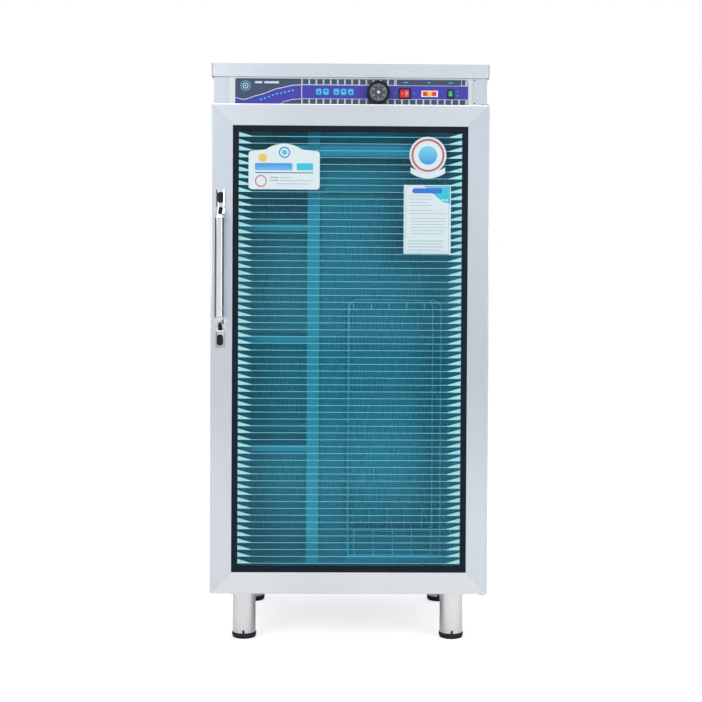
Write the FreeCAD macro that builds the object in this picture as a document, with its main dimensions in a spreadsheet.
import FreeCAD, Part
import math
import os
import re

import Sketcher

# A free-standing cabinet with a glass door that sterilizes kitchen tools by ultraviolet light.
# All sizes are in millimetres. X runs to the right seen from the front, the front faces -Y, +Z is up
# and z = 0 is the floor. Pieces are drawn in a frame whose y = 0 is the front plane of the case, and
# one placement then moves them all so that the middle of the whole object lies on the Z axis.

SIZES = [
    # case
    ("case_width", 592, "over the two side panels"),
    ("case_depth", 457, "front plane of the case to the rear panel's outer face"),
    ("case_bottom", 106, "height of the case's lower edge above the floor"),
    ("total_height", 1255, "floor to the cap's top face"),
    ("skin", 1.0, "outer sheet thickness"),
    ("cap_skirt", 30, "height of the cap's skirt"),
    ("cap_overhang", 4, "how far the cap stands out past the case"),
    ("cap_corner", 1.5, "chamfer at the cap's upright corners"),
    ("post_width", 31, "front return of a side panel, seen as a corner post"),
    ("post_return", 14, "inner return behind a corner post"),
    ("rear_flange", 18, "rear return of a side panel"),
    ("top_flange", 16, "upper return of a side panel"),
    ("seam_gap", 0.5, "gap at the seams between a post and its neighbours"),
    ("pan_flange", 25, "upturned edge of the base pan"),
    ("fascia_return", 20, "upper and lower return of the control fascia"),
    # chamber
    ("liner", 0.8, "chamber sheet thickness"),
    ("floor_rise", 67, "case's lower edge to the chamber floor's top face"),
    ("chamber_head", 133, "ceiling's lower face to the cap's top face"),
    ("chamber_rear_gap", 45, "chamber's rear wall to the rear of the case"),
    ("divider_x", -66, "right face of the divider"),
    ("divider_fold", 27, "width of the divider's folded front edge"),
    ("divider_setback", 55, "front plane of the case to the divider"),
    ("divider_return", 12, "return behind the divider's front edge"),
    # shelves
    ("upper_shelf_top", 911, "height of the upper shelf"),
    ("middle_shelf_top", 662, "height of the middle shelf"),
    ("lower_shelf_top", 421, "height of the lower shelf"),
    ("shelf_sheet", 1.0, "shelf sheet thickness"),
    ("shelf_lip", 14, "depth of a shelf's front lip"),
    ("shelf_stop", 18, "height of a shelf's rear stop"),
    ("shelf_setback", 72, "front plane of the case to a shelf's front lip"),
    ("shelf_gap", 1.0, "gap at each side and behind a shelf"),
    ("shelf_rail", 12, "width and height of a shelf rail's two legs"),
    ("rail_setback", 12, "shelf lip to the front end of its rails"),
    # racks
    ("wire", 4, "dividing wire, across its flats"),
    ("rod", 6, "frame rod, across its flats"),
    ("weld", 0.4, "how deep two welded wires sink into each other"),
    ("loop_first", 13, "x of the first floor loop"),
    ("loop_pitch", 43, "spacing of the floor loops"),
    ("loops", 6, "number of floor loops"),
    ("loop_height", 65, "height of a floor loop above the chamber floor"),
    ("loop_front", 70, "front plane of the case to the floor loops"),
    ("loop_rear_gap", 40, "rear of the floor loops to the rear wall"),
    ("loop_bend", 12, "bend radius of a floor loop's centre line"),
    ("loop_overhang", 12, "cross rod past the outer floor loops"),
    ("slot_first", 10, "x of the first dividing wire"),
    ("slot_pitch", 39.5, "spacing of the dividing wires"),
    ("slot_wires", 5, "number of dividing wires"),
    ("hoop_margin", 10, "first dividing wire to the hoops' left legs"),
    ("hoop_top", 745, "height of a hoop's centre line"),
    ("hoop_bend", 20, "bend radius of a hoop's centre line"),
    ("hoop_front", 100, "front plane of the case to the front hoop"),
    ("hoop_rear_gap", 72, "rear hoop to the rear wall"),
    ("tie_height", 522, "height of the rods that tie the hoops"),
    ("finger_drop", 18, "drop of a dividing wire's front end"),
    ("finger_bend", 8, "bend radius of a dividing wire's centre line"),
    ("finger_reach", 25, "dividing wire past each hoop"),
    ("knife_slots", 8, "number of slots in the knife rack"),
    ("knife_pitch", 24, "spacing of the knife rack's slots"),
    ("knife_first", -41, "x of the knife rack's first slot"),
    ("knife_end", 16, "outer slots to the knife rack's ends"),
    ("knife_drop", 100, "ceiling to the knife rack's top face"),
    ("knife_reach", 38, "rear wall to the knife rack's front"),
    ("knife_lip", 12, "depth of the knife rack's front lip"),
    ("knife_back", 40, "height of the knife rack's back above its top face"),
    ("knife_slot_width", 5, "width of a knife slot"),
    ("knife_slot_margin", 7, "knife slot to the rack's front and to the rear wall"),
    # lamp
    ("tube_length", 338, "length of the tube between its holders"),
    ("tube_radius", 12.75, "radius of the tube"),
    ("lamp_y", 205, "front plane of the case to the tube's axis"),
    ("lamp_drop", 32, "ceiling to the tube's axis"),
    ("holder_thickness", 14, "lamp holder, along the tube"),
    ("holder_width", 27, "lamp holder, across the tube"),
    ("holder_chamfer", 7, "chamfer at a lamp holder's lower corners"),
    ("reflector_top", 36, "flat width of the reflector"),
    ("reflector_mouth", 80, "width of the reflector's open side"),
    ("reflector_drop", 22, "height of the reflector"),
    ("reflector_edge", 1.2, "width of the reflector's cut edges"),
    ("reflector_margin", 8, "reflector past each lamp holder"),
    ("notch_margin", 3, "gap round the lamp in the divider"),
    # door
    ("door_overlap", 1, "door past each side of the case"),
    ("door_rise", 9, "case's lower edge to the door's"),
    ("door_head", 94, "door's upper edge to the cap's top face"),
    ("door_depth", 38, "thickness of the door frame"),
    ("frame_width", 46, "face width of the door frame"),
    ("frame_wall", 1.2, "sheet thickness of the door frame"),
    ("frame_corner", 2, "outer bend radius of the door frame"),
    ("cut_past", 1, "how far a mitre's cutting shape passes the frame"),
    ("front_lip", 3, "lip that holds the glazing gasket from the front"),
    ("seal_gap", 5, "gap between the door and the case"),
    ("seal_width", 14, "width of the magnetic seal"),
    ("seal_side", 10, "side of the door to the magnetic seal"),
    ("seal_inset", 6, "upper and lower edge of the door to the magnetic seal"),
    ("seal_clearance", 0.3, "seal to the case with the door shut"),
    ("gasket_face", 12, "glazing gasket seen round the glass"),
    ("gasket_lip", 2, "thickness of the gasket's front and rear lips"),
    ("glass_thickness", 5, "thickness of the pane"),
    ("glass_bite", 7, "depth of the pane's edge in the gasket"),
    ("retainer_width", 11, "retainer behind the gasket, from the frame inwards"),
    ("retainer_depth", 16, "retainer along the frame's inner side"),
    ("retainer_sheet", 1.2, "retainer sheet thickness"),
    # hinges
    ("hinge_inset", 9, "door edge to the hinge axis"),
    ("hinge_pin_radius", 4, "radius of a hinge pin"),
    ("hinge_pin_length", 16, "length of a hinge pin"),
    ("pin_clearance", 0.1, "radial gap between a hinge pin and its bush"),
    ("bush_fit", 0.05, "radial gap between a bush and its hole in the door"),
    ("bush_radius", 6, "radius of a bush's barrel"),
    ("bush_flange_radius", 8, "radius of a bush's flange"),
    ("bush_flange", 1.2, "thickness of a bush's flange"),
    ("bush_length", 18, "length of a bush's barrel"),
    ("bracket_sheet", 3, "hinge bracket thickness"),
    ("bracket_width", 14, "hinge bracket width"),
    ("bracket_leg", 30, "height of a hinge bracket's hidden leg"),
    ("bracket_nose", 4, "chamfer at a hinge bracket's front corners"),
    ("running_gap", 0.3, "gap between parts that move on each other"),
    # handle
    ("handle_inset", 21, "door edge to the handle's middle"),
    ("handle_width", 20, "width of the handle"),
    ("handle_middle", 809, "height of the handle's middle"),
    ("handle_length", 336, "overall length of the handle"),
    ("handle_lug", 34, "flat lug at each end of the handle"),
    ("handle_rise", 30, "length over which the grip rises from a lug"),
    ("handle_reach", 36, "door face to the grip's outer face"),
    ("lug_thickness", 4, "thickness of a lug"),
    ("grip_thickness", 6, "thickness of the grip"),
    ("grip_bend", 22, "outer bend radius of the grip"),
    ("end_cap_width", 13, "width of a handle end cap"),
    ("end_cap_length", 23, "length of a handle end cap"),
    ("end_cap_height", 7, "height of a handle end cap"),
    ("end_cap_corner", 3, "chamfer at the corners of a handle end cap"),
    ("end_cap_margin", 5, "end of a lug to its cap"),
    # controls
    ("control_drop", 64, "cap's top face to the controls' centre line"),
    ("dial_inset", 236.6, "right side of the case to the timer knob"),
    ("knob_radius", 25, "radius of the timer knob"),
    ("knob_depth", 17, "depth of the timer knob"),
    ("knob_floor", 5, "front of the knob to the end of its shaft"),
    ("knob_grooves", 18, "grip grooves round the timer knob"),
    ("groove_depth", 0.8, "depth of a grip groove"),
    ("groove_width", 3, "width of a grip groove at the rim"),
    ("knob_gap", 1, "gap between the knob and the fascia"),
    ("shaft_radius", 3, "radius of the timer shaft"),
    ("shaft_hole_gap", 1.5, "gap round the timer shaft in the fascia"),
    ("timer_width", 46, "width and height of the timer body"),
    ("timer_depth", 32, "depth of the timer body"),
    ("bezel", 2, "thickness of a bezel in front of the fascia"),
    ("bezel_rim", 1.4, "switch bezel past the opening in the fascia"),
    ("rocker_tilt", 8, "tilt of a rocker either way, in degrees"),
    ("rocker_pivot", 2, "fascia face to a rocker's pivot, inwards"),
    ("rocker_play", 1.2, "rocker tip to the wall of its well, which its tilt needs"),
    ("rocker_dip", 1, "hollow across a rocker's front"),
    ("rocker_tip", 3, "thickness of a rocker at its tips"),
    ("rocker_keel", 2.5, "depth and half width of a rocker behind its pivot"),
    ("power_inset", 179, "right side of the case to the power switch"),
    ("power_width", 27, "width of the power switch bezel"),
    ("power_height", 23, "height of the power switch bezel"),
    ("power_crown", 6, "pivot to the power rocker's front"),
    ("lamp_switch_inset", 80, "right side of the case to the lamp switch"),
    ("lamp_switch_width", 15, "width of the lamp switch bezel"),
    ("lamp_switch_height", 19.6, "height of the lamp switch bezel"),
    ("lamp_crown", 4.6, "pivot to the lamp rocker's front"),
    ("switch_wall", 1.4, "wall of a switch body beside its rocker"),
    ("switch_depth", 20, "depth of a switch body behind the fascia"),
    ("well_depth", 9, "depth of a switch's well behind the fascia"),
    ("pilot_inset", 125.3, "right side of the case to the pilot lamp"),
    ("pilot_width", 36, "width of the pilot lamp's bezel"),
    ("pilot_height", 13.7, "height of the pilot lamp's bezel"),
    ("pilot_rim", 3, "rim round the pilot lamp's body"),
    ("pilot_wall", 1, "wall of the pilot lamp's body round its lens"),
    ("pilot_depth", 18, "depth of the pilot lamp behind the fascia"),
    ("lens_depth", 8, "depth of the lens behind the fascia"),
    ("lens_rise", 1.5, "lens in front of its bezel"),
    ("lens_chamfer", 1, "chamfer round the lens"),
    ("door_switch_inset", 91, "left side of the case to the door switch"),
    ("door_switch_drop", 28, "door's upper edge to the door switch"),
    ("door_switch_width", 16, "width and height of the door switch body"),
    ("plunger_width", 6, "width of the door switch plunger"),
    ("plunger_height", 9, "height of the door switch plunger"),
    ("plunger_hole_gap", 0.5, "gap round the plunger in the fascia"),
    ("plunger_tip", 1.5, "chamfer at the plunger's tip"),
    ("plunger_hold", 7, "plunger inside the door switch body"),
    ("door_switch_end", 12, "door switch body behind its bore"),
    ("plunger_stroke", 3, "travel of the plunger past the shut door"),
    # electrics in the top compartment
    ("ballast_length", 150, "length of the ballast"),
    ("ballast_width", 42, "width of the ballast"),
    ("ballast_height", 30, "height of the ballast"),
    ("ballast_chamfer", 6, "chamfer along the ballast's upper edges"),
    ("ballast_foot", 12, "length of a ballast foot"),
    ("ballast_foot_width", 18, "width of a ballast foot"),
    ("ballast_x", -120, "x of the ballast's middle"),
    ("electrics_y", 300, "front plane of the case to the ballast and the terminals"),
    ("terminal_x", 130, "x of the terminal block's middle"),
    ("terminal_pitch", 10, "spacing of the terminals"),
    ("terminals", 6, "number of terminals"),
    ("terminal_width", 22, "width of the terminal block"),
    ("terminal_step", 9, "height of the terminal block's wire entries"),
    ("terminal_ridge", 10, "width of the terminal block's ridge"),
    ("terminal_height", 16, "height of the terminal block"),
    # rear
    ("inlet_inset", 96, "right side of the case to the mains inlet"),
    ("inlet_drop", 70, "cap's top face to the mains inlet"),
    ("inlet_width", 50, "width of the inlet's flange"),
    ("inlet_height", 28, "height of the inlet's flange"),
    ("inlet_flange", 3, "thickness of the inlet's flange"),
    ("inlet_rim_x", 11, "inlet's flange past its body at the sides"),
    ("inlet_rim_z", 4, "inlet's flange past its body above and below"),
    ("inlet_wall", 1.8, "wall of the inlet round its well"),
    ("inlet_depth", 20, "depth of the inlet's body inside the rear panel"),
    ("inlet_well", 16, "depth of the inlet's well inside the rear panel"),
    ("inlet_corner", 4, "slant of the well's two upper corners"),
    ("blade_width", 4, "height of a contact blade"),
    ("blade_thickness", 2, "thickness of a contact blade"),
    ("blade_length", 12, "length of a contact blade"),
    ("blade_pitch", 7, "sideways step from one contact blade to the next"),
    ("blade_rise", 4, "middle contact blade above the outer two"),
    ("cutout_gap", 0.2, "gap round a body in its panel cut-out"),
    ("louvre_length", 80, "length of a louvre"),
    ("louvre_height", 11, "height of a louvre"),
    ("louvre_reach", 6, "how far a louvre stands out"),
    ("louvre_pitch", 20, "spacing of the louvres"),
    ("louvres", 4, "number of louvres in a column"),
    ("louvre_drop", 105, "cap's top face to the lowest louvre's lower edge"),
    ("louvre_neck", 3, "upper edge of a louvre to its hollow"),
    ("louvre_lip", 2, "thickness of a louvre at its outer edge"),
    ("louvre_x", 60, "middle of the panel to the louvre column's near end"),
    # legs
    ("leg_inset_x", 67.5, "side of the case to a leg's axis"),
    ("leg_inset_y", 50, "front and rear of the case to a leg's axis"),
    ("leg_radius", 25, "radius of a leg tube"),
    ("leg_wall", 1.5, "wall of a leg tube"),
    ("leg_plug", 14, "thickness of the plug in a leg's lower end"),
    ("leg_plate", 70, "width of a leg's top plate"),
    ("leg_plate_sheet", 3, "thickness of a leg's top plate"),
    ("leg_plate_corner", 10, "chamfer at a leg plate's corners"),
    ("foot_radius", 27.3, "radius of a levelling foot"),
    ("foot_base", 25.5, "radius of a levelling foot where it meets the floor"),
    ("foot_height", 12, "height of a levelling foot's disc"),
    ("stem_width", 10, "levelling foot's stem, across its flats"),
    ("stem_hold", 30, "stem left in its leg when a foot is right down"),
    ("foot_travel", 15, "how far a levelling foot can be let down"),
]

# Sizes and places that follow from those above. Their cells hold the formulas.
LINKED = [
    ("chamber_floor", "case_bottom + floor_rise", "height of the chamber floor's top face"),
    ("chamber_top", "total_height - chamber_head", "height of the ceiling's lower face"),
    ("chamber_depth", "case_depth - chamber_rear_gap", "front plane of the case to the rear wall"),
    ("loop_rear", "chamber_depth - loop_rear_gap", "front plane of the case to the rear of the floor loops"),
    ("hoop_rear", "chamber_depth - hoop_rear_gap", "front plane of the case to the rear hoop"),
    ("lamp_z", "chamber_top - lamp_drop", "height of the tube's axis"),
    ("knife_height", "chamber_top - knife_drop", "height of the knife rack's top face"),
    ("door_width", "case_width + 2 * door_overlap", "outside width of the door"),
    ("door_bottom", "case_bottom + door_rise", "height of the door's lower edge"),
    ("door_height", "total_height - door_head - door_bottom", "outside height of the door"),
    ("control_height", "total_height - control_drop", "height of the controls' centre line"),
    ("dial_x", "case_width / 2 - dial_inset", "x of the timer knob"),
    ("power_x", "case_width / 2 - power_inset", "x of the power switch"),
    ("pilot_x", "case_width / 2 - pilot_inset", "x of the pilot lamp"),
    ("lamp_switch_x", "case_width / 2 - lamp_switch_inset", "x of the lamp switch"),
    ("door_switch_x", "door_switch_inset - case_width / 2", "x of the door switch"),
    ("door_switch_z", "total_height - door_head - door_switch_drop", "height of the door switch"),
    ("inlet_x", "case_width / 2 - inlet_inset", "x of the mains inlet"),
    ("inlet_z", "total_height - inlet_drop", "height of the mains inlet"),
    ("louvre_bottom", "total_height - louvre_drop", "height of the lowest louvre's lower edge"),
    ("stem_length", "stem_hold + foot_travel", "length of a levelling foot's stem"),
]

doc = FreeCAD.newDocument("SterilizerCabinet")
sheet = doc.addObject("Spreadsheet::Sheet", "size")
cells = [(name, str(number), meaning) for name, number, meaning in SIZES]
cells += [(name, f"={formula}", meaning) for name, formula, meaning in LINKED]
for row, (name, content, meaning) in enumerate(cells, start=1):
    sheet.set(f"A{row}", meaning)
    sheet.setAlias(f"B{row}", name)
    sheet.set(f"B{row}", content)
doc.recompute()

ALIASES = {name for name, content, meaning in cells}

# Places that several pieces share, as expressions of the sizes.
HALF_CASE = "(case_width / 2)"
POST_INNER = "(case_width / 2 - post_width)"
PANEL_DEPTH = "(case_depth - skin)"
CASE_TOP = "(total_height - skin)"
CHAMBER_HALF = "(case_width / 2 - post_width - liner)"
DOOR_REAR = "(-seal_gap)"
DOOR_FRONT = "(-seal_gap - door_depth)"
DOOR_TOP = "(door_bottom + door_height)"
DOOR_MIDDLE = "(door_bottom + door_height / 2)"
HINGE_X = "(door_width / 2 - hinge_inset)"
HINGE_Y = "(-seal_gap - door_depth / 2)"
UPPER_TAB = "(door_bottom + door_height + bush_flange + running_gap)"
LOWER_TAB = "(door_bottom - bush_flange - running_gap)"
HANDLE_X = "(handle_inset - door_width / 2)"
CASE_REAR = "(case_depth + max(louvre_reach; max(cap_overhang; inlet_flange)))"
CASE_FRONT = f"((seal_gap + door_depth + handle_reach - {CASE_REAR}) / 2)"
LEG_X = "(case_width / 2 - leg_inset_x)"
LEG_REAR = "(case_depth - leg_inset_y)"
LEG_BOTTOM = "(foot_height + running_gap)"
HOOP_LEFT = "(slot_first - hoop_margin)"
HOOP_RIGHT = "(slot_first + slot_pitch * slot_wires)"
LOOP_LAST = "(loop_first + loop_pitch * (loops - 1))"
INLET_BODY_X = "(inlet_width / 2 - inlet_rim_x)"
INLET_BODY_Z = "(inlet_height / 2 - inlet_rim_z)"

# Half width and half height of each opening in the fascia, seen from the front.
OPENINGS = {
    "power": ("(power_width / 2 - bezel_rim)", "(power_height / 2 - bezel_rim)"),
    "lamp_switch": ("(lamp_switch_width / 2 - bezel_rim)", "(lamp_switch_height / 2 - bezel_rim)"),
    "pilot": ("(pilot_width / 2 - pilot_rim)", "(pilot_height / 2 - pilot_rim)"),
}
PLUNGER_HOLE = ("(plunger_width / 2 + plunger_hole_gap)", "(plunger_height / 2 + plunger_hole_gap)")

finished = []


def bound(expression):
    """The expression with each size's name read from the sheet."""
    return re.sub(r"[a-z_]+", lambda word: f"size.{word[0]}" if word[0] in ALIASES else word[0], expression)


def value(expression):
    """The number that an expression of the sizes gives now."""
    return float(sheet.evalExpression(bound(expression)))


def origin_feature(body, role):
    return next(feature for feature in body.Origin.OriginFeatures if feature.Role == role)


def new_body(name):
    body = doc.addObject("PartDesign::Body", name)
    body.Label = name
    return body


def sketch_on(body, role, start="0"):
    """A sketch parallel to one of the body's origin planes, at a distance along the axis across it."""
    sketch = body.newObject("Sketcher::SketchObject", f"{body.Name}_sketch")
    sketch.AttachmentSupport = [(origin_feature(body, role), "")]
    sketch.MapMode = "FlatFace"
    sign = "-1" if role == "XZ_Plane" else "1"  # this plane's normal points to -Y
    sketch.setExpression("AttachmentOffset.Base.z", bound(f"{sign} * ({start})"))
    return sketch


def hold(sketch, kind, geometry, point, expression):
    """Holds a point's distance from the sketch's origin at an expression of the sizes."""
    constraint = Sketcher.Constraint(kind, -1, 1, geometry, point, value(expression))
    number = sketch.addConstraint(constraint)
    sketch.setExpression(f"Constraints[{number}]", bound(expression))


def add_polygon(sketch, points):
    first = sketch.GeometryCount
    corners = [FreeCAD.Vector(value(across), value(up), 0) for across, up in points]
    count = len(corners)
    for i in range(count):
        sketch.addGeometry(Part.LineSegment(corners[i], corners[(i + 1) % count]), False)
    for i in range(count):
        following = first + (i + 1) % count
        sketch.addConstraint(Sketcher.Constraint("Coincident", first + i, 2, following, 1))
    for i, (across, up) in enumerate(points):
        hold(sketch, "DistanceX", first + i, 1, across)
        hold(sketch, "DistanceY", first + i, 1, up)


def add_circle(sketch, across, up, radius):
    centre = FreeCAD.Vector(value(across), value(up), 0)
    circle = sketch.addGeometry(Part.Circle(centre, FreeCAD.Vector(0, 0, 1), value(radius)), False)
    hold(sketch, "DistanceX", circle, 3, across)
    hold(sketch, "DistanceY", circle, 3, up)
    number = sketch.addConstraint(Sketcher.Constraint("Radius", circle, value(radius)))
    sketch.setExpression(f"Constraints[{number}]", bound(radius))


def rectangle(left, bottom, right, top):
    return [(left, bottom), (right, bottom), (right, top), (left, top)]


def chamfered(across, up, half_width, half_height, corner):
    """A rectangle round a point with its four corners cut off."""
    wide, high = f"({half_width})", f"({half_height})"
    narrow, low = f"({half_width} - {corner})", f"({half_height} - {corner})"
    around = [(wide, f"-{low}"), (wide, low), (narrow, high), (f"-{narrow}", high)]
    around += [(f"-{wide}", low), (f"-{wide}", f"-{low}"), (f"-{narrow}", f"-{high}"), (narrow, f"-{high}")]
    return [(f"{across} + {x}", f"{up} + {y}") for x, y in around]


def add_hexagon(sketch, across, up, width):
    """A regular hexagon of a given width across its flats, with a flat side above and below."""
    flat, corner, slant = f"{width} / 2", f"{width} / sqrt(3)", f"{width} / sqrt(12)"
    around = [(slant, f"-{flat}"), (corner, "0"), (slant, flat)]
    around += [(f"-{slant}", flat), (f"-{corner}", "0"), (f"-{slant}", f"-{flat}")]
    add_polygon(sketch, [(f"{across} + {x}", f"{up} + {y}") for x, y in around])


def add_route(sketch, points, bend):
    """A wire's centre line: level and upright runs through the points, joined by quarter bends."""
    places = [FreeCAD.Vector(value(across), value(up), 0) for across, up in points]
    radius = value(bend)
    directions = [(after - before).normalize() for before, after in zip(places, places[1:])]
    last = len(directions) - 1
    for i, direction in enumerate(directions):
        start = places[i] + direction * (radius if i else 0)
        end = places[i + 1] - direction * (0 if i == last else radius)
        run = sketch.addGeometry(Part.LineSegment(start, end), False)
        level = abs(direction.x) > abs(direction.y)
        sketch.addConstraint(Sketcher.Constraint("Horizontal" if level else "Vertical", run))
        if 0 < i < last:
            hold(sketch, "DistanceY" if level else "DistanceX", run, 1, points[i][1 if level else 0])
    hold(sketch, "DistanceX", 0, 1, points[0][0])
    hold(sketch, "DistanceY", 0, 1, points[0][1])
    hold(sketch, "DistanceX", last, 2, points[-1][0])
    hold(sketch, "DistanceY", last, 2, points[-1][1])
    for i, (arriving, leaving) in enumerate(zip(directions, directions[1:])):
        centre = places[i + 1] + (leaving - arriving) * radius
        left_turn = arriving.cross(leaving).z > 0
        from_centre = (arriving - leaving) * radius
        spokes = [arriving * radius, leaving * -radius]
        if left_turn:
            spokes.reverse()
        angles = [math.atan2(spoke.y, spoke.x) for spoke in spokes]
        if angles[1] < angles[0]:
            angles[1] += 2 * math.pi
        circle = Part.Circle(centre, FreeCAD.Vector(0, 0, 1), radius)
        arc = sketch.addGeometry(Part.ArcOfCircle(circle, *angles), False)
        near_end, far_end = (1, 2) if left_turn else (2, 1)
        sketch.addConstraint(Sketcher.Constraint("Tangent", i, 2, arc, near_end))
        sketch.addConstraint(Sketcher.Constraint("Tangent", arc, far_end, i + 1, 1))
        number = sketch.addConstraint(Sketcher.Constraint("Radius", arc, radius))
        sketch.setExpression(f"Constraints[{number}]", bound(bend))


def extrude(body, sketch, length, cut=False):
    """Pads or pockets a sketch towards the positive axis across its plane."""
    kind = "PartDesign::Pocket" if cut else "PartDesign::Pad"
    before = body.Shape.Volume if body.Tip else 0
    feature = body.newObject(kind, f"{body.Name}_{'pocket' if cut else 'pad'}")
    feature.Profile = sketch
    feature.setExpression("Length", bound(length))
    along_normal = origin_feature(body, "XZ_Plane") not in [item[0] for item in sketch.AttachmentSupport]
    feature.Reversed = along_normal if cut else not along_normal
    sketch.Visibility = False
    doc.recompute()
    if cut and not body.Shape.Volume < before:
        raise ValueError(f"{feature.Name} cuts nothing")
    return feature


def pad(body, role, points, start, end):
    """Pads a polygon from start to end, both along the axis across the plane."""
    sketch = sketch_on(body, role, start)
    add_polygon(sketch, points)
    return extrude(body, sketch, f"({end}) - ({start})")


def pocket(body, role, points, start, end):
    sketch = sketch_on(body, role, start)
    add_polygon(sketch, points)
    return extrude(body, sketch, f"({end}) - ({start})", cut=True)


def round_pad(body, role, across, up, radius, start, end):
    sketch = sketch_on(body, role, start)
    add_circle(sketch, across, up, radius)
    return extrude(body, sketch, f"({end}) - ({start})")


def round_pocket(body, role, across, up, radius, start, end):
    sketch = sketch_on(body, role, start)
    add_circle(sketch, across, up, radius)
    return extrude(body, sketch, f"({end}) - ({start})", cut=True)


def revolve(body, role, points, axis):
    """Turns a polygon round one of the body's own axes."""
    sketch = sketch_on(body, role)
    add_polygon(sketch, points)
    feature = body.newObject("PartDesign::Revolution", f"{body.Name}_turn")
    feature.Profile = sketch
    feature.ReferenceAxis = (origin_feature(body, axis), [""])
    feature.Angle = 360
    sketch.Visibility = False
    doc.recompute()
    return feature


def bent_wire(body, width, section, route, bend):
    """Sweeps a wire's section along its route. Each is a role, a place across that plane and points."""
    section_role, section_start, across, up = section
    profile = sketch_on(body, section_role, section_start)
    add_hexagon(profile, across, up, width)
    route_role, route_start, points = route
    spine = sketch_on(body, route_role, route_start)
    add_route(spine, points, bend)
    pipe = body.newObject("PartDesign::AdditivePipe", f"{body.Name}_wire")
    pipe.Profile = profile
    pipe.Spine = spine
    profile.Visibility = False
    spine.Visibility = False
    doc.recompute()
    return pipe


def straight_wire(body, width, role, across, up, start, end):
    sketch = sketch_on(body, role, start)
    add_hexagon(sketch, across, up, width)
    return extrude(body, sketch, f"({end}) - ({start})")


def repeat(body, features, *directions):
    """Copies features in a row, or in a grid. A direction is an axis, a number of copies and their pitch."""
    pattern = body.newObject("PartDesign::LinearPattern", f"{body.Name}_row")
    pattern.Originals = features
    for suffix, (axis, copies, pitch) in zip(("", "2"), directions):
        setattr(pattern, f"Direction{suffix}", (origin_feature(body, axis), [""]))
        pattern.setExpression(f"Occurrences{suffix}", bound(copies))
        pattern.setExpression(f"Length{suffix}", bound(f"({pitch}) * (({copies}) - 1)"))
    body.Tip = pattern
    doc.recompute()
    return pattern


def edges_where(shape, test):
    """Names of the straight edges whose two ends satisfy a test."""
    names = []
    for number, edge in enumerate(shape.Edges, start=1):
        ends = [vertex.Point for vertex in edge.Vertexes]
        if len(ends) == 2 and test(*ends):
            names.append(f"Edge{number}")
    return names


def fillet(body, radius, test):
    tip = body.Tip
    edges = edges_where(tip.Shape, test)
    feature = body.newObject("PartDesign::Fillet", f"{body.Name}_fillet")
    feature.Base = (tip, edges)
    feature.setExpression("Radius", bound(radius))
    doc.recompute()


def chamfer(body, width, test):
    tip = body.Tip
    edges = edges_where(tip.Shape, test)
    feature = body.newObject("PartDesign::Chamfer", f"{body.Name}_chamfer")
    feature.Base = (tip, edges)
    feature.setExpression("Size", bound(width))
    doc.recompute()


def near(a, b):
    return abs(a - b) < 0.01


def finish(piece, x="0", y="0", z="0", turn=FreeCAD.Rotation()):
    """Puts a piece at its place in the object and lists it for export."""
    piece.Placement = FreeCAD.Placement(FreeCAD.Vector(0, 0, 0), turn)
    piece.setExpression("Placement.Base.x", bound(x))
    piece.setExpression("Placement.Base.y", bound(f"({y}) + {CASE_FRONT}"))
    piece.setExpression("Placement.Base.z", bound(z))
    finished.append(piece)


# Case: folded stainless sheet.


def make_top_cap():
    body = new_body("top_cap")
    out = f"({HALF_CASE} + cap_overhang)"
    rear = "(case_depth + cap_overhang)"
    outline = rectangle(f"-{out}", "-cap_overhang", out, rear)
    pad(body, "XY_Plane", outline, "total_height - cap_skirt", "total_height")
    chamfer(body, "cap_corner", lambda a, b: near(a.x, b.x) and near(a.y, b.y))
    inner = f"({out} - skin)"
    hollow = rectangle(f"-{inner}", "skin - cap_overhang", inner, f"{rear} - skin")
    pocket(body, "XY_Plane", hollow, "total_height - cap_skirt", CASE_TOP)
    finish(body)


def make_side_panel(name, side):
    """One sheet folded into the corner post, the side and the rear flange. side is 1 on the right."""
    body = new_body(name)
    profile = [
        (HALF_CASE, "0"),
        (HALF_CASE, PANEL_DEPTH),
        (f"{HALF_CASE} - rear_flange", PANEL_DEPTH),
        (f"{HALF_CASE} - rear_flange", f"{PANEL_DEPTH} - skin"),
        (f"{HALF_CASE} - skin", f"{PANEL_DEPTH} - skin"),
        (f"{HALF_CASE} - skin", "skin"),
        (f"{POST_INNER} + skin", "skin"),
        (f"{POST_INNER} + skin", "post_return"),
        (POST_INNER, "post_return"),
        (POST_INNER, "0"),
    ]
    pad(body, "XY_Plane", [(f"{side} * ({x})", y) for x, y in profile], "case_bottom", CASE_TOP)
    flange = rectangle(f"{side} * ({HALF_CASE} - top_flange)", "skin", f"{side} * ({HALF_CASE} - skin)",
                       f"{PANEL_DEPTH} - skin")
    pad(body, "XY_Plane", flange, f"{CASE_TOP} - skin", CASE_TOP)
    if side == 1:
        for tab in (UPPER_TAB, f"({LOWER_TAB} - bracket_sheet)"):
            slot = rectangle(
                f"{HINGE_X} - bracket_width / 2 - running_gap",
                f"{tab} - running_gap",
                f"{HALF_CASE} - skin",
                f"{tab} + bracket_sheet + running_gap",
            )
            pocket(body, "XZ_Plane", slot, "0", "skin")
    finish(body)


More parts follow.
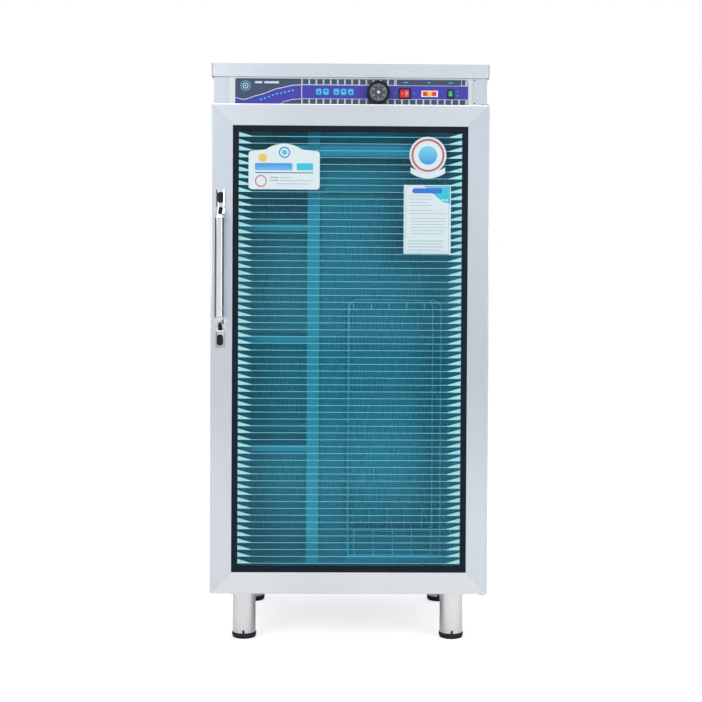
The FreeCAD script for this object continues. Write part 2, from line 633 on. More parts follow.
def make_rear_panel():
    """A flat sheet with two columns of pressed louvres and the cut-out for the mains inlet."""
    body = new_body("rear_panel")
    outline = rectangle(f"-{HALF_CASE}", "case_bottom", HALF_CASE, CASE_TOP)
    pad(body, "XZ_Plane", outline, PANEL_DEPTH, "case_depth")
    half_x, half_z = f"({INLET_BODY_X} + cutout_gap)", f"({INLET_BODY_Z} + cutout_gap)"
    left, right = f"inlet_x - {half_x}", f"inlet_x + {half_x}"
    cutout = rectangle(left, f"inlet_z - {half_z}", right, f"inlet_z + {half_z}")
    pocket(body, "XZ_Plane", cutout, PANEL_DEPTH, "case_depth")
    left, top = "(-louvre_x - louvre_length)", "(louvre_bottom + louvre_height)"
    hood = [
        ("case_depth", top),
        ("case_depth + louvre_reach", "louvre_bottom"),
        ("case_depth", "louvre_bottom"),
    ]
    outside = pad(body, "YZ_Plane", hood, left, f"{left} + louvre_length")
    hollow = [
        (PANEL_DEPTH, f"{top} - louvre_neck"),
        ("case_depth", f"{top} - louvre_neck"),
        ("case_depth + louvre_reach - louvre_lip", "louvre_bottom"),
        (PANEL_DEPTH, "louvre_bottom"),
    ]
    inside = pocket(body, "YZ_Plane", hollow, f"{left} + skin", f"{left} + louvre_length - skin")
    columns = ("X_Axis", "2", "2 * louvre_x + louvre_length")
    rows = ("Z_Axis", "louvres", "louvre_pitch")
    repeat(body, [outside, inside], columns, rows)
    finish(body)


def make_base_pan():
    body = new_body("base_pan")
    outer = f"({HALF_CASE} - skin)"
    tray = [
        (f"-{outer}", "case_bottom"),
        (outer, "case_bottom"),
        (outer, "case_bottom + pan_flange"),
        (f"{outer} - skin", "case_bottom + pan_flange"),
        (f"{outer} - skin", "case_bottom + skin"),
        (f"skin - {outer}", "case_bottom + skin"),
        (f"skin - {outer}", "case_bottom + pan_flange"),
        (f"-{outer}", "case_bottom + pan_flange"),
    ]
    pad(body, "XZ_Plane", tray, "skin + post_return", f"{PANEL_DEPTH} - skin")
    floor = "(chamber_floor - liner)"
    apron = [
        ("0", "case_bottom"),
        ("skin + post_return", "case_bottom"),
        ("skin + post_return", "case_bottom + skin"),
        ("skin", "case_bottom + skin"),
        ("skin", f"{floor} - skin"),
        ("fascia_return", f"{floor} - skin"),
        ("fascia_return", floor),
        ("0", floor),
    ]
    half = f"({POST_INNER} - seam_gap)"
    pad(body, "YZ_Plane", apron, f"-{half}", half)
    finish(body)


def make_control_fascia():
    body = new_body("control_fascia")
    bottom = "(chamber_top + liner)"
    profile = [
        ("0", bottom),
        ("fascia_return", bottom),
        ("fascia_return", f"{bottom} + skin"),
        ("skin", f"{bottom} + skin"),
        ("skin", f"{CASE_TOP} - skin"),
        ("fascia_return", f"{CASE_TOP} - skin"),
        ("fascia_return", CASE_TOP),
        ("0", CASE_TOP),
    ]
    half = f"({POST_INNER} - seam_gap)"
    pad(body, "YZ_Plane", profile, f"-{half}", half)
    round_pocket(body, "XZ_Plane", "dial_x", "control_height", "shaft_radius + shaft_hole_gap", "0", "skin")
    for x, z, half_x, half_z in (
        ("power_x", "control_height", *OPENINGS["power"]),
        ("lamp_switch_x", "control_height", *OPENINGS["lamp_switch"]),
        ("pilot_x", "control_height", *OPENINGS["pilot"]),
        ("door_switch_x", "door_switch_z", *PLUNGER_HOLE),
    ):
        opening = rectangle(f"{x} - {half_x}", f"{z} - {half_z}", f"{x} + {half_x}", f"{z} + {half_z}")
        pocket(body, "XZ_Plane", opening, "0", "skin")
    finish(body)


# Chamber: bright sheet walls, the divider, shelves and their rails.


def make_sheet(name, role, points, start, end):
    body = new_body(name)
    pad(body, role, points, start, end)
    finish(body)


def make_chamber():
    low = "chamber_floor - liner"
    high = "chamber_top + liner"
    side = rectangle("0", low, "chamber_depth + liner", high)
    make_sheet("chamber_left_wall", "YZ_Plane", side, f"-{CHAMBER_HALF} - liner", f"-{CHAMBER_HALF}")
    make_sheet("chamber_right_wall", "YZ_Plane", side, CHAMBER_HALF, f"{CHAMBER_HALF} + liner")
    rear = rectangle(f"-{CHAMBER_HALF}", low, CHAMBER_HALF, high)
    make_sheet("chamber_rear_wall", "XZ_Plane", rear, "chamber_depth", "chamber_depth + liner")
    flat = rectangle(f"-{CHAMBER_HALF}", "0", CHAMBER_HALF, "chamber_depth")
    make_sheet("chamber_floor", "XY_Plane", flat, low, "chamber_floor")
    make_sheet("chamber_ceiling", "XY_Plane", flat, "chamber_top", high)


def make_divider():
    body = new_body("divider_panel")
    fold = "(divider_x - divider_fold)"
    profile = [
        ("divider_x", "divider_setback"),
        ("divider_x", "chamber_depth"),
        ("divider_x - liner", "chamber_depth"),
        ("divider_x - liner", "divider_setback + liner"),
        (f"{fold} + liner", "divider_setback + liner"),
        (f"{fold} + liner", "divider_setback + divider_return"),
        (fold, "divider_setback + divider_return"),
        (fold, "divider_setback"),
    ]
    pad(body, "XY_Plane", profile, "chamber_floor", "chamber_top")
    reach = "(reflector_mouth / 2 + notch_margin)"
    low = "lamp_z - tube_radius - notch_margin"
    notch = rectangle(f"lamp_y - {reach}", low, f"lamp_y + {reach}", "chamber_top")
    pocket(body, "YZ_Plane", notch, "divider_x - liner", "divider_x")
    finish(body)


def make_shelf(name, top):
    body = new_body(name)
    rear = "(chamber_depth - shelf_gap)"
    profile = [
        ("shelf_setback", f"{top} - shelf_lip"),
        ("shelf_setback + shelf_sheet", f"{top} - shelf_lip"),
        ("shelf_setback + shelf_sheet", f"{top} - shelf_sheet"),
        (rear, f"{top} - shelf_sheet"),
        (rear, f"{top} + shelf_stop"),
        (f"{rear} - shelf_sheet", f"{top} + shelf_stop"),
        (f"{rear} - shelf_sheet", top),
        ("shelf_setback", top),
    ]
    pad(body, "YZ_Plane", profile, f"shelf_gap - {CHAMBER_HALF}", "divider_x - liner - shelf_gap")
    finish(body)


def make_shelf_rail(name, top, wall, inward):
    """An angle under one side of a shelf. inward is 1 on the chamber's wall and -1 on the divider."""
    body = new_body(name)
    seat = f"({top} - shelf_sheet)"
    angle = [
        (wall, seat),
        (f"{wall} + {inward} * shelf_rail", seat),
        (f"{wall} + {inward} * shelf_rail", f"{seat} - shelf_sheet"),
        (f"{wall} + {inward} * shelf_sheet", f"{seat} - shelf_sheet"),
        (f"{wall} + {inward} * shelf_sheet", f"{seat} - shelf_rail"),
        (wall, f"{seat} - shelf_rail"),
    ]
    pad(body, "XZ_Plane", angle, "shelf_setback + rail_setback", "chamber_depth")
    finish(body)


def make_shelves():
    for level in ("upper", "middle", "lower"):
        top = f"{level}_shelf_top"
        make_shelf(f"{level}_shelf", top)
        make_shelf_rail(f"{level}_shelf_rail_left", top, f"(-{CHAMBER_HALF})", "1")
        make_shelf_rail(f"{level}_shelf_rail_right", top, "(divider_x - liner)", "-1")


# Racks: welded wire and one folded sheet.


def make_lower_board_rack():
    """Loops that stand up between two boards each, welded to cross rods that lie on the chamber floor."""
    body = new_body("lower_board_rack")
    rod_z = "(chamber_floor + rod / 2)"
    top = "(chamber_floor + loop_height - wire / 2)"
    points = [("loop_front", rod_z), ("loop_front", top), ("loop_rear", top), ("loop_rear", rod_z)]
    section = ("XY_Plane", rod_z, "loop_first", "loop_front")
    loop = bent_wire(body, "wire", section, ("YZ_Plane", "loop_first", points), "loop_bend")
    repeat(body, [loop], ("X_Axis", "loops", "loop_pitch"))
    for y in ("loop_front", "loop_rear"):
        straight_wire(body, "rod", "YZ_Plane", y, rod_z, "loop_first - loop_overhang",
                      f"{LOOP_LAST} + loop_overhang")
    finish(body)


def make_upper_board_rack():
    """Two tied hoops that stand on the chamber floor, with dividing wires welded under their tops."""
    body = new_body("upper_board_rack")
    points = [
        (HOOP_LEFT, "chamber_floor"),
        (HOOP_LEFT, "hoop_top"),
        (HOOP_RIGHT, "hoop_top"),
        (HOOP_RIGHT, "chamber_floor"),
    ]
    section = ("XY_Plane", "chamber_floor", HOOP_LEFT, "hoop_front")
    hoop = bent_wire(body, "rod", section, ("XZ_Plane", "hoop_front", points), "hoop_bend")
    repeat(body, [hoop], ("Y_Axis", "2", "hoop_rear - hoop_front"))
    level = "(hoop_top - rod / 2 - wire / 2 + weld)"
    front, rear = "(hoop_front - finger_reach)", "(hoop_rear + finger_reach)"
    points = [(rear, level), (front, level), (front, f"{level} - finger_drop")]
    section = ("XZ_Plane", rear, "slot_first", level)
    finger = bent_wire(body, "wire", section, ("YZ_Plane", "slot_first", points), "finger_bend")
    repeat(body, [finger], ("X_Axis", "slot_wires", "slot_pitch"))
    straight_wire(body, "wire", "YZ_Plane", "hoop_rear", "tie_height", HOOP_LEFT, HOOP_RIGHT)
    for x in (HOOP_LEFT, HOOP_RIGHT):
        straight_wire(body, "wire", "XZ_Plane", x, "tie_height", "hoop_front", "hoop_rear")
    finish(body)


def make_knife_rack():
    """One folded sheet on the rear wall, with a row of slots across its top face."""
    body = new_body("knife_rack")
    front, rear, top = "(chamber_depth - knife_reach)", "chamber_depth", "knife_height"
    profile = [
        (front, f"{top} - knife_lip"),
        (f"{front} + shelf_sheet", f"{top} - knife_lip"),
        (f"{front} + shelf_sheet", f"{top} - shelf_sheet"),
        (rear, f"{top} - shelf_sheet"),
        (rear, f"{top} + knife_back"),
        (f"{rear} - shelf_sheet", f"{top} + knife_back"),
        (f"{rear} - shelf_sheet", top),
        (front, top),
    ]
    last = "(knife_first + knife_pitch * (knife_slots - 1))"
    pad(body, "YZ_Plane", profile, "knife_first - knife_end", f"{last} + knife_end")
    half = "knife_slot_width / 2"
    slot = rectangle(f"knife_first - {half}", f"{front} + knife_slot_margin", f"knife_first + {half}",
                     f"{rear} - knife_slot_margin")
    first = pocket(body, "XY_Plane", slot, f"{top} - shelf_sheet", top)
    repeat(body, [first], ("X_Axis", "knife_slots", "knife_pitch"))
    finish(body)


# Lamp.


def make_lamp_holder(name, start):
    body = new_body(name)
    half, low = "holder_width / 2", "(lamp_z - tube_radius)"
    outline = [
        (f"lamp_y - {half}", "chamber_top - liner"),
        (f"lamp_y + {half}", "chamber_top - liner"),
        (f"lamp_y + {half}", f"{low} + holder_chamfer"),
        (f"lamp_y + {half} - holder_chamfer", low),
        (f"lamp_y - {half} + holder_chamfer", low),
        (f"lamp_y - {half}", f"{low} + holder_chamfer"),
    ]
    pad(body, "YZ_Plane", outline, start, f"{start} + holder_thickness")
    finish(body)


def make_lamp():
    tube = new_body("uv_lamp_tube")
    half = "(tube_length / 2)"
    round_pad(tube, "YZ_Plane", "0", "0", "tube_radius", f"-{half}", half)
    finish(tube, y="lamp_y", z="lamp_z")
    make_lamp_holder("left_lamp_holder", f"(-{half} - holder_thickness)")
    make_lamp_holder("right_lamp_holder", half)

    reflector = new_body("lamp_reflector")
    length = f"({half} + holder_thickness + reflector_margin)"
    flat, mouth, edge = "reflector_top / 2", "reflector_mouth / 2", "(chamber_top - reflector_drop)"
    profile = [
        (f"lamp_y - {flat}", "chamber_top"),
        (f"lamp_y + {flat}", "chamber_top"),
        (f"lamp_y + {mouth}", edge),
        (f"lamp_y + {mouth} - reflector_edge", edge),
        (f"lamp_y + {flat} - reflector_edge / 2", "chamber_top - liner"),
        (f"lamp_y - {flat} + reflector_edge / 2", "chamber_top - liner"),
        (f"lamp_y - {mouth} + reflector_edge", edge),
        (f"lamp_y - {mouth}", edge),
    ]
    pad(reflector, "YZ_Plane", profile, f"-{length}", length)
    finish(reflector)


# Door: four mitred frame pieces, the glazing and the seal.


def make_frame_piece(name, length, turn, x, z, holes=()):
    """A folded hollow section with its front lip, cut to a mitre at both ends.

    It is drawn as the top rail: outer face up at z = 0, front face at y = 0, its middle at x = 0.
    """
    body = new_body(name)
    section = [
        ("0", "0"),
        ("door_depth", "0"),
        ("door_depth", "front_lip - frame_width"),
        ("frame_wall", "front_lip - frame_width"),
        ("frame_wall", "-frame_width"),
        ("0", "-frame_width"),
    ]
    half = f"({length}) / 2"
    pad(body, "YZ_Plane", section, f"-{half}", half)
    fillet(body, "frame_corner", lambda a, b: near(a.z, 0) and near(b.z, 0) and near(a.y, b.y))
    hollow = rectangle("frame_wall", "front_lip - frame_width + frame_wall", "door_depth - frame_wall",
                       "-frame_wall")
    pocket(body, "YZ_Plane", hollow, f"-{half}", half)
    for side in ("-1", "1"):
        waste = [
            (f"{side} * ({half} + cut_past)", "cut_past"),
            (f"{side} * ({half} + cut_past)", "-frame_width - cut_past"),
            (f"{side} * ({half} - frame_width - cut_past)", "-frame_width - cut_past"),
        ]
        pocket(body, "XZ_Plane", waste, "-cut_past", "door_depth + cut_past")
    for place in holes:
        round_pocket(body, "XY_Plane", place, "door_depth / 2", "bush_radius + bush_fit", "-frame_wall", "0")
    finish(body, x=x, y=DOOR_FRONT, z=z, turn=turn)


def make_door_frame():
    about_y = FreeCAD.Vector(0, 1, 0)
    quarter = {name: FreeCAD.Rotation(about_y, angle) for name, angle in
               (("top", 0), ("right", 90), ("bottom", 180), ("left", -90))}
    make_frame_piece("door_top_rail", "door_width", quarter["top"], "0", DOOR_TOP, [HINGE_X])
    make_frame_piece("door_bottom_rail", "door_width", quarter["bottom"], "0", "door_bottom", [f"-{HINGE_X}"])
    make_frame_piece("door_left_stile", "door_height", quarter["left"], "-door_width / 2", DOOR_MIDDLE)
    make_frame_piece("door_right_stile", "door_height", quarter["right"], "door_width / 2", DOOR_MIDDLE)


def ring(body, outer_x, outer_z, width, start, end):
    """A rectangular ring round the middle of the door, in the XZ plane."""
    outer = rectangle(f"-({outer_x})", f"-({outer_z})", outer_x, outer_z)
    inner = rectangle(f"({width}) - ({outer_x})", f"({width}) - ({outer_z})", f"({outer_x}) - ({width})",
                      f"({outer_z}) - ({width})")
    sketch = sketch_on(body, "XZ_Plane", start)
    add_polygon(sketch, outer)
    add_polygon(sketch, inner)
    return extrude(body, sketch, f"({end}) - ({start})")


REBATE_X = "(door_width / 2 - frame_width + front_lip)"
REBATE_Z = "(door_height / 2 - frame_width + front_lip)"
GASKET_FRONT = "(-seal_gap - door_depth + frame_wall)"
GASKET_WIDTH = "(front_lip + gasket_face)"
PANE_FRONT = "(-seal_gap - door_depth + frame_wall + gasket_lip)"
GASKET_REAR = "(-seal_gap - door_depth + frame_wall + 2 * gasket_lip + glass_thickness)"


def make_glazing():
    gasket = new_body("glazing_gasket")
    pane_back = f"({PANE_FRONT} + glass_thickness)"
    ring(gasket, REBATE_X, REBATE_Z, GASKET_WIDTH, GASKET_FRONT, PANE_FRONT)
    ring(gasket, REBATE_X, REBATE_Z, f"({GASKET_WIDTH} - glass_bite)", PANE_FRONT, pane_back)
    ring(gasket, REBATE_X, REBATE_Z, GASKET_WIDTH, pane_back, GASKET_REAR)
    finish(gasket, z=DOOR_MIDDLE)

    pane = new_body("glass_pane")
    edge_x = f"({REBATE_X} - {GASKET_WIDTH} + glass_bite)"
    edge_z = f"({REBATE_Z} - {GASKET_WIDTH} + glass_bite)"
    pad(pane, "XZ_Plane", rectangle(f"-{edge_x}", f"-{edge_z}", edge_x, edge_z), PANE_FRONT, pane_back)
    finish(pane, z=DOOR_MIDDLE)

    retainer = new_body("glass_retainer")
    ring(retainer, REBATE_X, REBATE_Z, "retainer_width", GASKET_REAR, f"{GASKET_REAR} + retainer_sheet")
    ring(retainer, REBATE_X, REBATE_Z, "retainer_sheet", f"{GASKET_REAR} + retainer_sheet",
         f"{GASKET_REAR} + retainer_depth")
    finish(retainer, z=DOOR_MIDDLE)

    seal = new_body("door_seal")
    seal_x, seal_z = "(door_width / 2 - seal_side)", "(door_height / 2 - seal_inset)"
    ring(seal, seal_x, seal_z, "seal_width", DOOR_REAR, "-seal_clearance")
    finish(seal, z=DOOR_MIDDLE)


def make_hinges():
    """Two brackets that reach out of the right post with their pins, and the bushes in the door."""
    brackets = new_body("hinge_brackets")
    front, middle = f"({HINGE_Y} - bracket_width / 2)", "bracket_width / 2"
    for tab, leg_down in ((UPPER_TAB, True), (f"({LOWER_TAB} - bracket_sheet)", False)):
        tab_top = f"({tab} + bracket_sheet)"
        leg_end = f"({tab_top} - bracket_leg)" if leg_down else f"({tab} + bracket_leg)"
        door_side, free_side = (tab, tab_top) if leg_down else (tab_top, tab)
        profile = [
            (front, door_side),
            ("skin", door_side),
            ("skin", leg_end),
            ("skin + bracket_sheet", leg_end),
            ("skin + bracket_sheet", free_side),
            (front, free_side),
        ]
        pad(brackets, "YZ_Plane", profile, f"{HINGE_X} - {middle}", f"{HINGE_X} + {middle}")
    nose = value(front)
    chamfer(brackets, "bracket_nose", lambda a, b: near(a.y, nose) and near(b.y, nose) and near(a.x, b.x))
    pins = ((f"{UPPER_TAB} - hinge_pin_length", UPPER_TAB), (LOWER_TAB, f"{LOWER_TAB} + hinge_pin_length"))
    for start, end in pins:
        round_pad(brackets, "XY_Plane", HINGE_X, HINGE_Y, "hinge_pin_radius", start, end)
    finish(brackets)

    bushes = new_body("hinge_bushes")
    top_low, bottom_high = f"({DOOR_TOP} - bush_length)", "(door_bottom + bush_length)"
    for radius, start, end in (
        ("bush_flange_radius", DOOR_TOP, f"({DOOR_TOP} + bush_flange)"),
        ("bush_radius", top_low, DOOR_TOP),
        ("bush_flange_radius", "(door_bottom - bush_flange)", "door_bottom"),
        ("bush_radius", "door_bottom", bottom_high),
    ):
        sketch = sketch_on(bushes, "XY_Plane", start)
        add_circle(sketch, HINGE_X, HINGE_Y, radius)
        add_circle(sketch, HINGE_X, HINGE_Y, "hinge_pin_radius + pin_clearance")
        extrude(bushes, sketch, f"{end} - {start}")
    finish(bushes)


def make_handle_grip():
    """A chrome strip that bows away from the door between two flat lugs."""
    body = new_body("handle_grip")
    end, lug_end = "(handle_length / 2)", "(handle_length / 2 - handle_lug)"
    rise_end = f"({lug_end} - handle_rise)"
    outer = [
        ("-lug_thickness", end),
        ("-lug_thickness", f"{lug_end} + lug_thickness / 2"),
        ("-handle_reach", rise_end),
    ]
    inner = [
        ("grip_thickness - handle_reach", f"{rise_end} - grip_thickness / 2"),
        ("0", lug_end),
        ("0", end),
    ]
    outer_low = [(y, f"-({z})") for y, z in reversed(outer)]
    inner_low = [(y, f"-({z})") for y, z in reversed(inner)]
    pad(body, "YZ_Plane", outer + outer_low + inner_low + inner, "-handle_width / 2", "handle_width / 2")
    outer_y, inner_y = value("-handle_reach"), value("grip_thickness - handle_reach")
    fillet(body, "grip_bend", lambda a, b: near(a.y, outer_y) and near(b.y, outer_y) and near(a.z, b.z))
    fillet(body, "grip_bend - grip_thickness",
           lambda a, b: near(a.y, inner_y) and near(b.y, inner_y) and near(a.z, b.z))
    finish(body, x=HANDLE_X, y=DOOR_FRONT, z="handle_middle")


def make_handle_end_cap(name, side):
    """A black cap on one of the handle's lugs. side is 1 at the upper end."""
    body = new_body(name)
    outline = chamfered("0", "0", "end_cap_width / 2", "end_cap_length / 2", "end_cap_corner")
    pad(body, "XZ_Plane", outline, "-lug_thickness - end_cap_height", "-lug_thickness")
    middle = "(handle_length / 2 - end_cap_margin - end_cap_length / 2)"
    finish(body, x=HANDLE_X, y=DOOR_FRONT, z=f"handle_middle + {side} * {middle}")


# Controls.


def make_timer():
    body = new_body("timer_body")
    half = "(timer_width / 2)"
    pad(body, "XZ_Plane", rectangle(f"-{half}", f"-{half}", half, half), "skin", "skin + timer_depth")
    finish(body, x="dial_x", z="control_height")

    shaft = new_body("timer_shaft")
    front = "(-knob_gap - knob_depth)"
    tip = f"({front} + knob_floor)"
    round_pad(shaft, "XZ_Plane", "0", "0", "shaft_radius", tip, "skin - running_gap")
    finish(shaft, x="dial_x", z="control_height")

    knob = new_body("timer_knob")
    profile = [
        ("shaft_radius", "-knob_gap"),
        ("knob_radius", "-knob_gap"),
        ("knob_radius", front),
        ("0", front),
        ("0", tip),
        ("shaft_radius", tip),
    ]
    revolve(knob, "XY_Plane", profile, "Y_Axis")
    notch = [
        ("knob_radius - groove_depth", "0"),
        ("knob_radius + groove_depth", "groove_width"),
        ("knob_radius + groove_depth", "-groove_width"),
    ]
    groove = pocket(knob, "XZ_Plane", notch, front, "-knob_gap")
    turn = knob.newObject("PartDesign::PolarPattern", "timer_knob_grooves")
    turn.Originals = [groove]
    turn.Axis = (origin_feature(knob, "Y_Axis"), [""])
    turn.Angle = 360
    turn.setExpression("Occurrences", bound("knob_grooves"))
    knob.Tip = turn
    doc.recompute()
    finish(knob, x="dial_x", z="control_height")


def make_switch(name, x, size_x, size_z, opening, crown, turn):
    """A switch body with its bezel, and a rocker that tilts in its well.

    size_x and opening[0] lie along the rocker, size_z and opening[1] along its pivot. Both pieces are
    drawn with an upright pivot, and turn lays the pivot level where the switch works up and down.
    """
    body = new_body(f"{name}_switch_body")
    half_x, half_z = opening
    well_x, well_z = f"({half_x} - switch_wall)", f"({half_z} - switch_wall)"
    bezel_x, bezel_z = f"({size_x} / 2)", f"({size_z} / 2)"
    pad(body, "XZ_Plane", rectangle(f"-{bezel_x}", f"-{bezel_z}", bezel_x, bezel_z), "-bezel", "0")
    pad(body, "XZ_Plane", rectangle(f"-{half_x}", f"-{half_z}", half_x, half_z), "0", "switch_depth")
    pocket(body, "XZ_Plane", rectangle(f"-{well_x}", f"-{well_z}", well_x, well_z), "-bezel", "well_depth")
    finish(body, x=x, z="control_height", turn=turn)

    rocker = new_body(f"{name}_rocker")
    reach, back = f"({well_x} - rocker_play)", f"({crown} - rocker_tip)"
    paddle = [
        (f"-{reach}", f"-{crown}"),
        ("0", f"rocker_dip - {crown}"),
        (reach, f"-{crown}"),
        (reach, f"-{back}"),
        ("rocker_keel", "rocker_keel"),
        ("-rocker_keel", "rocker_keel"),
        (f"-{reach}", f"-{back}"),
    ]
    tall = f"({well_z} - running_gap)"
    pad(rocker, "XY_Plane", paddle, f"-{tall}", tall)
    tilt = FreeCAD.Rotation(FreeCAD.Vector(0, 0, 1), -value("rocker_tilt"))
    finish(rocker, x=x, y="rocker_pivot", z="control_height", turn=turn.multiply(tilt))


def make_pilot_lamp():
    body = new_body("pilot_lamp_body")
    half_x, half_z = OPENINGS["pilot"]
    bezel_x, bezel_z = "(pilot_width / 2)", "(pilot_height / 2)"
    pad(body, "XZ_Plane", rectangle(f"-{bezel_x}", f"-{bezel_z}", bezel_x, bezel_z), "-bezel", "0")
    pad(body, "XZ_Plane", rectangle(f"-{half_x}", f"-{half_z}", half_x, half_z), "0", "pilot_depth")
    lens_x, lens_z = f"({half_x} - pilot_wall)", f"({half_z} - pilot_wall)"
    window = rectangle(f"-{lens_x}", f"-{lens_z}", lens_x, lens_z)
    pocket(body, "XZ_Plane", window, "-bezel", "lens_depth")
    finish(body, x="pilot_x", z="control_height")

    lens = new_body("pilot_lamp_lens")
    front = "(-bezel - lens_rise)"
    pad(lens, "XZ_Plane", window, front, "lens_depth")
    face = value(front)
    chamfer(lens, "lens_chamfer", lambda a, b: near(a.y, face) and near(b.y, face))
    finish(lens, x="pilot_x", z="control_height")


def make_door_switch():
    body = new_body("door_switch_body")
    half = "(door_switch_width / 2)"
    bore_end = "(skin + plunger_hold + 2 * plunger_stroke)"
    outline = rectangle(f"-{half}", f"-{half}", half, half)
    pad(body, "XZ_Plane", outline, "skin", f"{bore_end} + door_switch_end")
    half_x, half_z = "(plunger_width / 2 + running_gap)", "(plunger_height / 2 + running_gap)"
    pocket(body, "XZ_Plane", rectangle(f"-{half_x}", f"-{half_z}", half_x, half_z), "skin", bore_end)
    finish(body, x="door_switch_x", z="door_switch_z")

    plunger = new_body("door_switch_plunger")
    tip, root, high = f"({DOOR_REAR} + running_gap)", "(skin + plunger_hold)", "(plunger_height / 2)"
    outline = [
        (tip, f"plunger_tip - {high}"),
        (f"{tip} + plunger_tip", f"-{high}"),
        (root, f"-{high}"),
        (root, high),
        (f"{tip} + plunger_tip", high),
        (tip, f"{high} - plunger_tip"),
    ]
    pad(plunger, "YZ_Plane", outline, "-plunger_width / 2", "plunger_width / 2")
    finish(plunger, x="door_switch_x", z="door_switch_z")


def make_electrics():
    """The ballast and the terminal block, on the chamber's ceiling."""
    seat = "(chamber_top + liner)"
    ballast = new_body("lamp_ballast")
    end, side, top = "(ballast_length / 2)", "(ballast_width / 2)", "ballast_height"
    section = [
        (f"-{side}", "0"),
        (side, "0"),
        (side, f"{top} - ballast_chamfer"),
        (f"{side} - ballast_chamfer", top),
        (f"ballast_chamfer - {side}", top),
        (f"-{side}", f"{top} - ballast_chamfer"),
    ]
    pad(ballast, "YZ_Plane", section, f"-{end}", end)
    foot = "ballast_foot_width / 2"
    for start, stop in ((f"-{end} - ballast_foot", f"-{end}"), (end, f"{end} + ballast_foot")):
        pad(ballast, "XY_Plane", rectangle(start, f"-{foot}", stop, foot), "0", "skin")
    finish(ballast, x="ballast_x", y="electrics_y", z=seat)

    block = new_body("terminal_block")
    length = "(terminal_pitch * terminals / 2)"
    side, ridge = "(terminal_width / 2)", "(terminal_ridge / 2)"
    section = [
        (f"-{side}", "0"),
        (side, "0"),
        (side, "terminal_step"),
        (ridge, "terminal_step"),
        (ridge, "terminal_height"),
        (f"-{ridge}", "terminal_height"),
        (f"-{ridge}", "terminal_step"),
        (f"-{side}", "terminal_step"),
    ]
    pad(block, "YZ_Plane", section, f"-{length}", length)
    finish(block, x="terminal_x", y="electrics_y", z=seat)


def make_power_inlet():
    """A flange outside the rear panel and a body inside it, with a well round three contact blades."""
    body = new_body("power_inlet")
    flange_x, flange_z = "(inlet_width / 2)", "(inlet_height / 2)"
    half_x, half_z = INLET_BODY_X, INLET_BODY_Z
    pad(body, "XZ_Plane", rectangle(f"-{flange_x}", f"-{flange_z}", flange_x, flange_z), "0", "inlet_flange")
    pad(body, "XZ_Plane", rectangle(f"-{half_x}", f"-{half_z}", half_x, half_z), "-skin - inlet_depth", "0")
    well_x, well_z, floor = f"({half_x} - inlet_wall)", f"({half_z} - inlet_wall)", "(-skin - inlet_well)"
    well = [
        (f"-{well_x}", f"-{well_z}"),
        (well_x, f"-{well_z}"),
        (well_x, f"{well_z} - inlet_corner"),
        (f"{well_x} - inlet_corner", well_z),
        (f"inlet_corner - {well_x}", well_z),
        (f"-{well_x}", f"{well_z} - inlet_corner"),
    ]
    pocket(body, "XZ_Plane", well, floor, "inlet_flange")
    half_x, half_z = "blade_thickness / 2", "blade_width / 2"
    outer, middle = "-blade_rise / 2", "blade_rise / 2"
    for x, z in (("-blade_pitch", outer), ("0", middle), ("blade_pitch", outer)):
        blade = rectangle(f"{x} - {half_x}", f"{z} - {half_z}", f"{x} + {half_x}", f"{z} + {half_z}")
        pad(body, "XZ_Plane", blade, floor, f"{floor} + blade_length")
    finish(body, x="inlet_x", y="case_depth", z="inlet_z")


# Legs.


def make_legs():
    """Four tubes under their plates, each closed below by the plug that takes its foot's stem."""
    body = new_body("legs")
    x, y, inside = f"(-{LEG_X})", "leg_inset_y", "(leg_radius - leg_wall)"
    plate_bottom = "(case_bottom - leg_plate_sheet)"
    tube = sketch_on(body, "XY_Plane", LEG_BOTTOM)
    add_circle(tube, x, y, "leg_radius")
    add_circle(tube, x, y, inside)
    plug = sketch_on(body, "XY_Plane", LEG_BOTTOM)
    add_circle(plug, x, y, inside)
    add_hexagon(plug, x, y, "(stem_width + 2 * running_gap)")
    pieces = [extrude(body, tube, f"{plate_bottom} - {LEG_BOTTOM}"), extrude(body, plug, "leg_plug")]
    plate = chamfered(x, y, "leg_plate / 2", "leg_plate / 2", "leg_plate_corner")
    pieces.append(pad(body, "XY_Plane", plate, plate_bottom, "case_bottom"))
    repeat(body, pieces, ("X_Axis", "2", f"2 * {LEG_X}"), ("Y_Axis", "2", f"{LEG_REAR} - leg_inset_y"))
    finish(body)


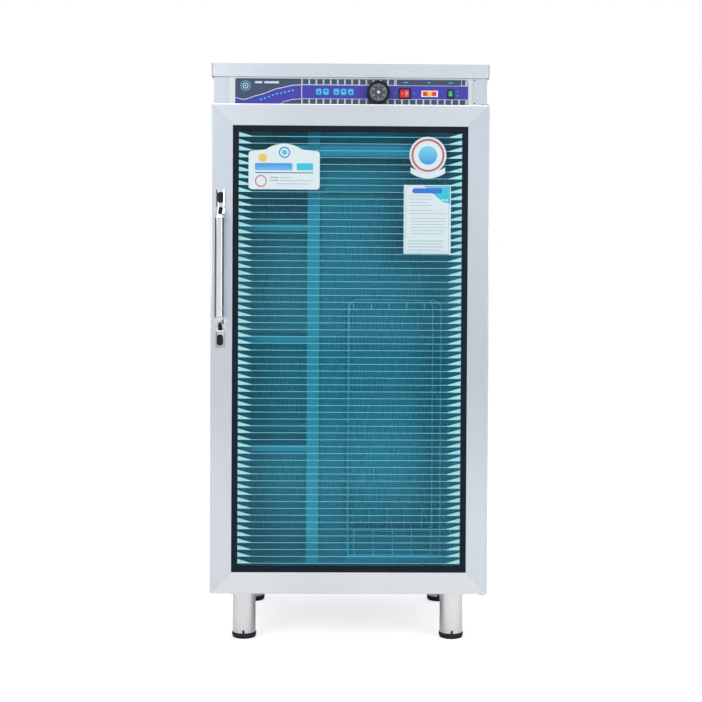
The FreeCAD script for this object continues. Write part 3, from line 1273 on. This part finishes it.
def make_foot(name, x, y):
    """A levelling foot: a tapered disc on a stem that slides in the leg's plug."""
    body = new_body(name)
    profile = [("0", "0"), ("foot_base", "0"), ("foot_radius", "foot_height"), ("0", "foot_height")]
    revolve(body, "XZ_Plane", profile, "Z_Axis")
    straight_wire(body, "stem_width", "XY_Plane", "0", "0", "foot_height", "foot_height + stem_length")
    finish(body, x=x, y=y)


make_top_cap()
make_side_panel("left_side_panel", -1)
make_side_panel("right_side_panel", 1)
make_rear_panel()
make_base_pan()
make_control_fascia()
make_chamber()
make_divider()
make_shelves()
make_lower_board_rack()
make_upper_board_rack()
make_knife_rack()
make_lamp()
make_door_frame()
make_glazing()
make_hinges()
make_handle_grip()
make_handle_end_cap("handle_end_cap_upper", 1)
make_handle_end_cap("handle_end_cap_lower", -1)
make_timer()
UPRIGHT = FreeCAD.Rotation()
make_switch("power", "power_x", "power_width", "power_height", OPENINGS["power"], "power_crown", UPRIGHT)
LEVEL = FreeCAD.Rotation(FreeCAD.Vector(0, 1, 0), 90)
make_switch("lamp", "lamp_switch_x", "lamp_switch_height", "lamp_switch_width", OPENINGS["lamp_switch"][::-1],
            "lamp_crown", LEVEL)
make_pilot_lamp()
make_door_switch()
make_electrics()
make_power_inlet()
make_legs()
make_foot("foot_front_left", f"(-{LEG_X})", "leg_inset_y")
make_foot("foot_front_right", LEG_X, "leg_inset_y")
make_foot("foot_rear_left", f"(-{LEG_X})", LEG_REAR)
make_foot("foot_rear_right", LEG_X, LEG_REAR)

doc.recompute()
for item in doc.Objects:
    if "Invalid" in item.State or "Error" in item.State:
        raise ValueError(f"{item.Name} failed: {item.State}")
for piece in finished:
    if piece.Shape.isNull() or not piece.Shape.isValid():
        raise ValueError(f"{piece.Label} has no valid shape")

os.makedirs("parts", exist_ok=True)
for piece in finished:
    piece.Shape.exportStep(f"parts/{piece.Label}.step")

whole = Part.makeCompound([piece.Shape for piece in finished]).BoundBox
print(f"{len(finished)} pieces, X {whole.XMin:.2f} to {whole.XMax:.2f}, "
      f"Y {whole.YMin:.2f} to {whole.YMax:.2f}, Z {whole.ZMin:.2f} to {whole.ZMax:.2f}")
